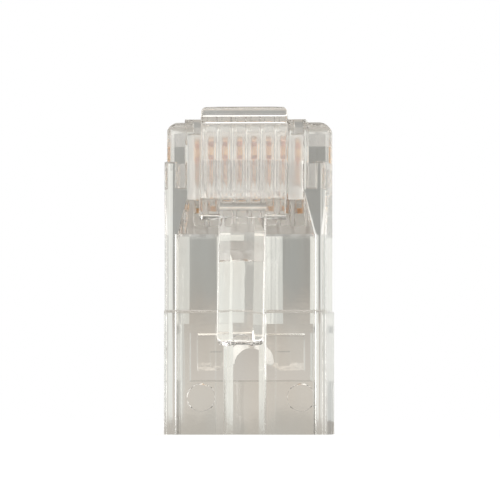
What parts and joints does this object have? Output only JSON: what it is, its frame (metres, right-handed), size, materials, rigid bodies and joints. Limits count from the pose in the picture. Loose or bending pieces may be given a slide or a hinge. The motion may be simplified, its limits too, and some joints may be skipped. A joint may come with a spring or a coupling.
{
  "type": "rj45 modular plug",
  "caption": "Clear modular plug, unterminated: latch lever, raised gold-plated contact blades, wire channels, cable cavity and a strain-relief flap.",
  "frame": {"origin": "centre of the cable entry, in the plane of the cable end, which the plug stands on", "axes": "+Z is the way the plug goes into its jack, -Y is the latch side, +Y the contact side, X runs across the contacts"},
  "size_m": [0.0118, 0.0137, 0.0228],
  "materials": {
    "clear_plastic": "clear moulded polycarbonate, glossy",
    "contact_gold": "gold plating over a copper alloy"
  },
  "bodies": {
    "housing": {"housing": "clear_plastic"},
    "latch": {"latch_lever": "clear_plastic"},
    "strain_relief": {"jacket_strain_relief": "clear_plastic"},
    "blade_1": {"contact_1": "contact_gold"},
    "blade_2": {"contact_2": "contact_gold"},
    "blade_3": {"contact_3": "contact_gold"},
    "blade_4": {"contact_4": "contact_gold"},
    "blade_5": {"contact_5": "contact_gold"},
    "blade_6": {"contact_6": "contact_gold"},
    "blade_7": {"contact_7": "contact_gold"},
    "blade_8": {"contact_8": "contact_gold"}
  },
  "joints": [
    {"name": "latch_flex", "type": "hinge", "parent": "housing", "child": "latch", "pos_m": [0, -0.0041, 0.02185], "axis": [1, 0, 0], "range_deg": [0, 14], "stiffness_Nm_per_rad": 0.05},
    {"name": "strain_relief_fold", "type": "hinge", "parent": "housing", "child": "strain_relief", "pos_m": [0, 0.00375, 0.0072], "axis": [-1, 0, 0], "range_deg": [0, 35]},
    {"name": "contact_1_press", "type": "slide", "parent": "housing", "child": "blade_1", "axis": [0, -1, 0], "range_m": [0, 0.00088]},
    {"name": "contact_2_press", "type": "slide", "parent": "housing", "child": "blade_2", "axis": [0, -1, 0], "range_m": [0, 0.00088]},
    {"name": "contact_3_press", "type": "slide", "parent": "housing", "child": "blade_3", "axis": [0, -1, 0], "range_m": [0, 0.00088]},
    {"name": "contact_4_press", "type": "slide", "parent": "housing", "child": "blade_4", "axis": [0, -1, 0], "range_m": [0, 0.00088]},
    {"name": "contact_5_press", "type": "slide", "parent": "housing", "child": "blade_5", "axis": [0, -1, 0], "range_m": [0, 0.00088]},
    {"name": "contact_6_press", "type": "slide", "parent": "housing", "child": "blade_6", "axis": [0, -1, 0], "range_m": [0, 0.00088]},
    {"name": "contact_7_press", "type": "slide", "parent": "housing", "child": "blade_7", "axis": [0, -1, 0], "range_m": [0, 0.00088]},
    {"name": "contact_8_press", "type": "slide", "parent": "housing", "child": "blade_8", "axis": [0, -1, 0], "range_m": [0, 0.00088]}
  ]
}
